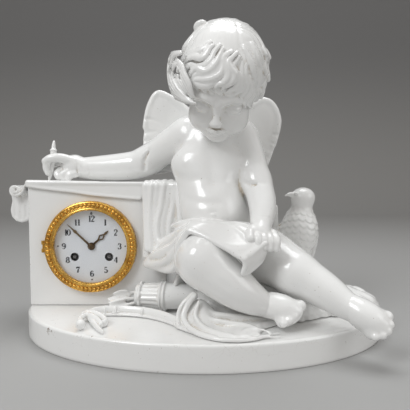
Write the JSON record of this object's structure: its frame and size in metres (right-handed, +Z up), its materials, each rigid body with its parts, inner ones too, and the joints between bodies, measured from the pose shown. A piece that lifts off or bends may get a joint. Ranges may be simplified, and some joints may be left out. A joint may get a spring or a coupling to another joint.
{
  "type": "porcelain figural mantel clock",
  "caption": "White glazed mantel clock: seated winged child with a pen beside a case with gilt bezel, round dial, spring movement, bell and pendulum.",
  "frame": {"origin": "bottom centre of the bounding box", "axes": "+X to the viewer's right, +Y away from the viewer, +Z up"},
  "size_m": [0.455, 0.221, 0.351],
  "materials": {
    "porcelain": "glossy clear glaze over white body",
    "gilt_brass": "cast and gilt, bright on the beads",
    "brass": "lacquered",
    "steel": "polished",
    "hand_bronze": "darkened gilt",
    "bell_metal": "turned",
    "enamel": "white enamel with blue-black numbers",
    "glass": "clear"
  },
  "bodies": {
    "case": {"base_plinth": "porcelain", "clock_block": "porcelain", "parchment_sheet": "porcelain", "block_drape": "porcelain", "seat_mound": "porcelain", "torso": "porcelain", "head": "porcelain", "right_arm": "porcelain", "left_arm": "porcelain", "right_leg": "porcelain", "left_leg": "porcelain", "right_wing": "porcelain", "left_wing": "porcelain", "stylus": "porcelain", "lap_cloth": "porcelain", "ground_cloth": "porcelain", "quiver": "porcelain", "arrows": "porcelain", "bow": "porcelain", "bow_ribbon": "porcelain", "dove": "porcelain", "bezel_ring": "gilt_brass", "bezel_hinge_pin": "gilt_brass", "dial": "enamel", "dial_plate": "brass", "front_plate": "brass", "back_plate": "brass", "back_cock": "brass", "bell": "bell_metal", "bell_stand": "brass", "strap_upper": "brass", "strap_lower": "brass", "back_ring": "brass"},
    "bezel": {"bezel_door": "gilt_brass", "dial_glass": "glass"},
    "minute_work": {"minute_hand": "hand_bronze", "hand_nut": "hand_bronze", "cannon_pinion": "steel", "centre_wheel": "brass"},
    "hour_work": {"hour_hand": "hand_bronze", "hour_wheel": "brass"},
    "motion_wheel": {"minute_wheel": "brass"},
    "going_second": {"going_second_wheel": "brass"},
    "going_power": {"going_barrel": "brass", "going_mainspring": "steel"},
    "going_winding": {"going_winding_arbor": "steel"},
    "third": {"third_wheel": "brass"},
    "escape": {"escape_wheel": "brass"},
    "anchor_work": {"anchor": "steel"},
    "pendulum": {"pendulum_rod": "steel", "pendulum_bob": "brass"},
    "strike_power": {"strike_barrel": "brass", "strike_mainspring": "steel"},
    "strike_winding": {"strike_winding_arbor": "steel"},
    "strike_second": {"strike_second_wheel": "brass"},
    "pin_work": {"pin_wheel": "brass"},
    "fly_work": {"fly": "steel"},
    "hammer_work": {"hammer": "steel"},
    "regulator": {"regulator_arbor": "steel"},
    "rear_cover": {"back_door": "brass"}
  },
  "joints": [
    {"name": "bezel_hinge", "type": "hinge", "parent": "case", "child": "bezel", "pos_m": [-0.1821, 0.0088, 0.1008], "axis": [0, 0, 1], "range_deg": [-105, 0]},
    {"name": "minute_hand_turn", "type": "hinge", "parent": "case", "child": "minute_work", "pos_m": [-0.1245, 0.0115, 0.1008], "axis": [0, 1, 0], "continuous": true},
    {"name": "hour_hand_turn", "type": "hinge", "parent": "case", "child": "hour_work", "pos_m": [-0.1245, 0.0115, 0.1008], "axis": [0, 1, 0], "continuous": true},
    {"name": "motion_wheel_turn", "type": "hinge", "parent": "case", "child": "motion_wheel", "pos_m": [-0.13489, 0.0115, 0.1068], "axis": [0, 1, 0], "continuous": true},
    {"name": "going_second_turn", "type": "hinge", "parent": "case", "child": "going_second", "pos_m": [-0.11039, 0.0115, 0.10622], "axis": [0, 1, 0], "continuous": true},
    {"name": "going_barrel_turn", "type": "hinge", "parent": "case", "child": "going_power", "pos_m": [-0.1037, 0.0115, 0.0878], "axis": [0, 1, 0], "continuous": true},
    {"name": "going_winding_turn", "type": "hinge", "parent": "case", "child": "going_winding", "pos_m": [-0.1037, 0.0115, 0.0878], "axis": [0, 1, 0], "continuous": true},
    {"name": "third_wheel_turn", "type": "hinge", "parent": "case", "child": "third", "pos_m": [-0.12893, 0.0115, 0.11298], "axis": [0, 1, 0], "continuous": true},
    {"name": "escape_wheel_turn", "type": "hinge", "parent": "case", "child": "escape", "pos_m": [-0.12451, 0.0115, 0.12292], "axis": [0, 1, 0], "continuous": true},
    {"name": "anchor_rock", "type": "hinge", "parent": "case", "child": "anchor_work", "pos_m": [-0.12451, 0.0115, 0.13211], "axis": [0, 1, 0], "range_deg": [-3, 3]},
    {"name": "pendulum_swing", "type": "hinge", "parent": "case", "child": "pendulum", "pos_m": [-0.12451, 0.0567, 0.13211], "axis": [0, 1, 0], "range_deg": [-3, 3]},
    {"name": "pin_wheel_turn", "type": "hinge", "parent": "case", "child": "pin_work", "pos_m": [-0.14309, 0.0115, 0.12193], "axis": [0, 1, 0], "continuous": true},
    {"name": "strike_second_turn", "type": "hinge", "parent": "case", "child": "strike_second", "pos_m": [-0.14701, 0.0115, 0.10733], "axis": [0, 1, 0], "continuous": true},
    {"name": "strike_barrel_turn", "type": "hinge", "parent": "case", "child": "strike_power", "pos_m": [-0.1453, 0.0115, 0.0878], "axis": [0, 1, 0], "continuous": true},
    {"name": "strike_winding_turn", "type": "hinge", "parent": "case", "child": "strike_winding", "pos_m": [-0.1453, 0.0115, 0.0878], "axis": [0, 1, 0], "continuous": true},
    {"name": "fly_turn", "type": "hinge", "parent": "case", "child": "fly_work", "pos_m": [-0.13797, 0.0115, 0.1308], "axis": [0, 1, 0], "continuous": true},
    {"name": "hammer_lift", "type": "hinge", "parent": "case", "child": "hammer_work", "pos_m": [-0.15069, 0.0115, 0.13103], "axis": [0, 1, 0], "range_deg": [0, 10]},
    {"name": "regulator_turn", "type": "hinge", "parent": "case", "child": "regulator", "pos_m": [-0.1245, 0.0115, 0.1402], "axis": [0, 1, 0], "continuous": true},
    {"name": "rear_cover_hinge", "type": "hinge", "parent": "case", "child": "rear_cover", "pos_m": [-0.181, 0.1054, 0.1008], "axis": [0, 0, 1], "range_deg": [0, 110]}
  ],
  "couplings": [
    {"joint": "hour_hand_turn", "follows": "minute_hand_turn", "ratio": 0.083333},
    {"joint": "motion_wheel_turn", "follows": "minute_hand_turn", "ratio": -0.33333},
    {"joint": "going_second_turn", "follows": "minute_hand_turn", "ratio": -0.2},
    {"joint": "going_barrel_turn", "follows": "minute_hand_turn", "ratio": 0.033333},
    {"joint": "third_wheel_turn", "follows": "minute_hand_turn", "ratio": -8},
    {"joint": "escape_wheel_turn", "follows": "minute_hand_turn", "ratio": 60},
    {"joint": "anchor_rock", "follows": "pendulum_swing", "ratio": 1},
    {"joint": "strike_second_turn", "follows": "pin_wheel_turn", "ratio": -0.2},
    {"joint": "strike_barrel_turn", "follows": "pin_wheel_turn", "ratio": 0.033333},
    {"joint": "fly_turn", "follows": "pin_wheel_turn", "ratio": -7}
  ]
}
